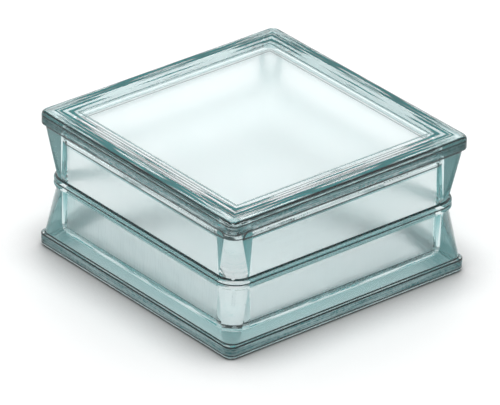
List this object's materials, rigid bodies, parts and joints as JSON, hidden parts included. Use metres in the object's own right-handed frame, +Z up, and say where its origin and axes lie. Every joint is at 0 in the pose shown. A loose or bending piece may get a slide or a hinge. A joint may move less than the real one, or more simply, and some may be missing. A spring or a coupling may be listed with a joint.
{
  "type": "glass paver",
  "caption": "Square hollow glass paving block with two flat load-bearing faces, a sealed air chamber, a satin-lit top and a recessed mortar channel round the sides.",
  "frame": {"origin": "middle of the underside, on the plane the block lies on", "axes": "+Z up through both faces to the walking face; X and Y square to the sides"},
  "size_m": [0.19, 0.19, 0.094],
  "materials": {
    "pressed_glass": "clear pressed glass with a faint green cast, satin on the underside of the top plate"
  },
  "bodies": {
    "root": {"glass_block": "pressed_glass"}
  },
  "joints": []
}
